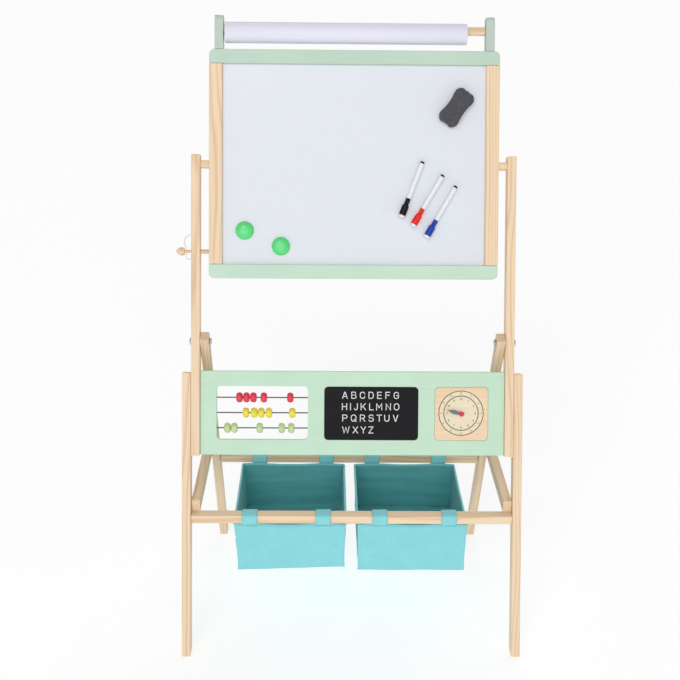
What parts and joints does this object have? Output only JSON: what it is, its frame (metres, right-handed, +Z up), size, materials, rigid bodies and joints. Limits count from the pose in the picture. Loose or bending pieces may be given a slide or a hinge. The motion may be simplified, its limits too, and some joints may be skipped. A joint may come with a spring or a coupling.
{
  "type": "children's standing easel",
  "caption": "Freestanding wooden easel for a child with a flip-over dry-wipe board, paper roll on top, bead and clock panel and hanging fabric bins.",
  "frame": {"origin": "on the floor, at the middle of the four feet, halfway between the front feet and the rear feet", "axes": "+X to the right of someone facing the board, +Y to the back, +Z up"},
  "size_m": [0.555, 0.3853, 0.96],
  "materials": {
    "pine": "pale unfinished pine, sanded, fine straight grain",
    "mint_paint": "wood under satin mint paint",
    "whiteboard": "hardboard under a thin gloss white dry-wipe steel skin",
    "paper": "plain white drawing paper",
    "bin_cloth": "plain-woven teal polyester cloth",
    "zinc_steel": "bright zinc-plated steel",
    "bead_wire": "dark drawn steel wire",
    "blackboard": "matt black board with white capitals",
    "clock_board": "pale plywood with a printed dial",
    "felt": "dense charcoal felt",
    "red_paint": "gloss red paint on wood",
    "yellow_paint": "gloss yellow paint on wood",
    "green_paint": "gloss pale green paint on wood",
    "slate_paint": "slate blue paint on a thin wooden hand",
    "red_hand": "red plastic",
    "green_plastic": "bright green gloss plastic",
    "white_plastic": "white gloss plastic",
    "black_plastic": "black gloss plastic",
    "red_plastic": "red gloss plastic",
    "blue_plastic": "blue gloss plastic",
    "cord": "twisted off-white cotton cord"
  },
  "bodies": {
    "frame": {"front_leg_left": "pine", "upright_left": "pine", "rear_leg_left": "pine", "side_rail_left": "pine", "pivot_dowel_left": "pine", "leg_hinge_bolt_left": "zinc_steel", "fabric_bin_left": "bin_cloth", "front_leg_right": "pine", "upright_right": "pine", "rear_leg_right": "pine", "side_rail_right": "pine", "pivot_dowel_right": "pine", "leg_hinge_bolt_right": "zinc_steel", "fabric_bin_right": "bin_cloth", "front_rail": "pine", "rear_rail": "pine", "activity_panel": "mint_paint", "letter_board": "blackboard", "clock_plate": "clock_board", "clock_pin": "red_hand", "bead_wire_red": "bead_wire", "bead_wire_yellow": "bead_wire", "bead_wire_green": "bead_wire"},
    "board": {"board_top_rail": "mint_paint", "board_bottom_rail": "mint_paint", "board_stile_left": "pine", "board_stile_right": "pine", "board_sheet": "whiteboard", "roll_post_left": "mint_paint", "roll_post_right": "mint_paint"},
    "pull_pin": {"lock_pin": "pine", "pin_cord": "cord"},
    "dowel": {"roll_dowel": "pine"},
    "roll": {"paper_roll": "paper"},
    "hour": {"hour_hand": "slate_paint"},
    "minute": {"minute_hand": "red_hand"},
    "eraser_block": {"eraser": "felt"},
    "red_bead_1": {"bead_red_1": "red_paint"},
    "red_bead_2": {"bead_red_2": "red_paint"},
    "red_bead_3": {"bead_red_3": "red_paint"},
    "red_bead_4": {"bead_red_4": "red_paint"},
    "red_bead_5": {"bead_red_5": "red_paint"},
    "yellow_bead_1": {"bead_yellow_1": "yellow_paint"},
    "yellow_bead_2": {"bead_yellow_2": "yellow_paint"},
    "yellow_bead_3": {"bead_yellow_3": "yellow_paint"},
    "yellow_bead_4": {"bead_yellow_4": "yellow_paint"},
    "yellow_bead_5": {"bead_yellow_5": "yellow_paint"},
    "green_bead_1": {"bead_green_1": "green_paint"},
    "green_bead_2": {"bead_green_2": "green_paint"},
    "green_bead_3": {"bead_green_3": "green_paint"},
    "green_bead_4": {"bead_green_4": "green_paint"},
    "green_bead_5": {"bead_green_5": "green_paint"},
    "left_magnet": {"magnet_left": "green_plastic"},
    "right_magnet": {"magnet_right": "green_plastic"},
    "black_marker": {"marker_black": "white_plastic"},
    "black_cap": {"marker_cap_black": "black_plastic"},
    "red_marker": {"marker_red": "white_plastic"},
    "red_cap": {"marker_cap_red": "red_plastic"},
    "blue_marker": {"marker_blue": "white_plastic"},
    "blue_cap": {"marker_cap_blue": "blue_plastic"}
  },
  "joints": [
    {"name": "board_flip", "type": "hinge", "parent": "frame", "child": "board", "pos_m": [0, 0.08586, 0.73814], "axis": [1, 0, 0], "range_deg": [-180, 180]},
    {"name": "pin_slide", "type": "slide", "parent": "frame", "child": "pull_pin", "axis": [-1, 0, 0], "range_m": [-0.0105, 0.0145], "deforming": ["pin_cord"]},
    {"name": "roll_lift", "type": "slide", "parent": "board", "child": "dowel", "axis": [0, 0.3404, 0.9403], "range_m": [0, 0.05]},
    {"name": "roll_spin", "type": "hinge", "parent": "dowel", "child": "roll", "pos_m": [0, 0.15836, 0.93353], "axis": [1, 0, 0], "continuous": true},
    {"name": "red_bead_1_slide", "type": "slide", "parent": "frame", "child": "red_bead_1", "axis": [1, 0, 0], "range_m": [-0.0308, 0.0005]},
    {"name": "red_bead_2_slide", "type": "slide", "parent": "frame", "child": "red_bead_2", "axis": [1, 0, 0], "range_m": [-0.0005, 0.0005]},
    {"name": "red_bead_3_slide", "type": "slide", "parent": "frame", "child": "red_bead_3", "axis": [1, 0, 0], "range_m": [-0.0005, 0.006]},
    {"name": "red_bead_4_slide", "type": "slide", "parent": "frame", "child": "red_bead_4", "axis": [1, 0, 0], "range_m": [-0.006, 0.0316]},
    {"name": "red_bead_5_slide", "type": "slide", "parent": "frame", "child": "red_bead_5", "axis": [1, 0, 0], "range_m": [-0.0316, 0.0228]},
    {"name": "yellow_bead_1_slide", "type": "slide", "parent": "frame", "child": "yellow_bead_1", "axis": [1, 0, 0], "range_m": [-0.0411, 0.0026]},
    {"name": "yellow_bead_2_slide", "type": "slide", "parent": "frame", "child": "yellow_bead_2", "axis": [1, 0, 0], "range_m": [-0.0026, 0.0006]},
    {"name": "yellow_bead_3_slide", "type": "slide", "parent": "frame", "child": "yellow_bead_3", "axis": [1, 0, 0], "range_m": [-0.0006, 0.0018]},
    {"name": "yellow_bead_4_slide", "type": "slide", "parent": "frame", "child": "yellow_bead_4", "axis": [1, 0, 0], "range_m": [-0.0018, 0.0266]},
    {"name": "yellow_bead_5_slide", "type": "slide", "parent": "frame", "child": "yellow_bead_5", "axis": [1, 0, 0], "range_m": [-0.0266, 0.0195]},
    {"name": "green_bead_1_slide", "type": "slide", "parent": "frame", "child": "green_bead_1", "axis": [1, 0, 0], "range_m": [-0.0115, 0.0005]},
    {"name": "green_bead_2_slide", "type": "slide", "parent": "frame", "child": "green_bead_2", "axis": [1, 0, 0], "range_m": [-0.0005, 0.0299]},
    {"name": "green_bead_3_slide", "type": "slide", "parent": "frame", "child": "green_bead_3", "axis": [1, 0, 0], "range_m": [-0.0299, 0.0246]},
    {"name": "green_bead_4_slide", "type": "slide", "parent": "frame", "child": "green_bead_4", "axis": [1, 0, 0], "range_m": [-0.0246, 0.0046]},
    {"name": "green_bead_5_slide", "type": "slide", "parent": "frame", "child": "green_bead_5", "axis": [1, 0, 0], "range_m": [-0.0046, 0.0211]},
    {"name": "minute_hand_turn", "type": "hinge", "parent": "frame", "child": "minute", "pos_m": [0.17458, -0.05449, 0.36807], "axis": [0, -0.9403, 0.3404], "continuous": true},
    {"name": "hour_hand_turn", "type": "hinge", "parent": "frame", "child": "hour", "pos_m": [0.17458, -0.05449, 0.36807], "axis": [0, -0.9403, 0.3404], "continuous": true},
    {"name": "left_magnet_pull_off", "type": "slide", "parent": "board", "child": "left_magnet", "axis": [0, -0.9403, 0.3404], "range_m": [0, 0.05]},
    {"name": "right_magnet_pull_off", "type": "slide", "parent": "board", "child": "right_magnet", "axis": [0, -0.9403, 0.3404], "range_m": [0, 0.05]},
    {"name": "eraser_pull_off", "type": "slide", "parent": "board", "child": "eraser_block", "axis": [0, -0.9403, 0.3404], "range_m": [0, 0.05]},
    {"name": "black_marker_pull_off", "type": "slide", "parent": "board", "child": "black_marker", "axis": [0, -0.9403, 0.3404], "range_m": [0, 0.05]},
    {"name": "black_cap_pull_off", "type": "slide", "parent": "black_marker", "child": "black_cap", "axis": [-0.3551, -0.3182, -0.879], "range_m": [0, 0.036]},
    {"name": "red_marker_pull_off", "type": "slide", "parent": "board", "child": "red_marker", "axis": [0, -0.9403, 0.3404], "range_m": [0, 0.05]},
    {"name": "red_cap_pull_off", "type": "slide", "parent": "red_marker", "child": "red_cap", "axis": [-0.5075, -0.2933, -0.8102], "range_m": [0, 0.036]},
    {"name": "blue_marker_pull_off", "type": "slide", "parent": "board", "child": "blue_marker", "axis": [0, -0.9403, 0.3404], "range_m": [0, 0.05]},
    {"name": "blue_cap_pull_off", "type": "slide", "parent": "blue_marker", "child": "blue_cap", "axis": [-0.497, -0.2954, -0.8159], "range_m": [0, 0.036]}
  ]
}
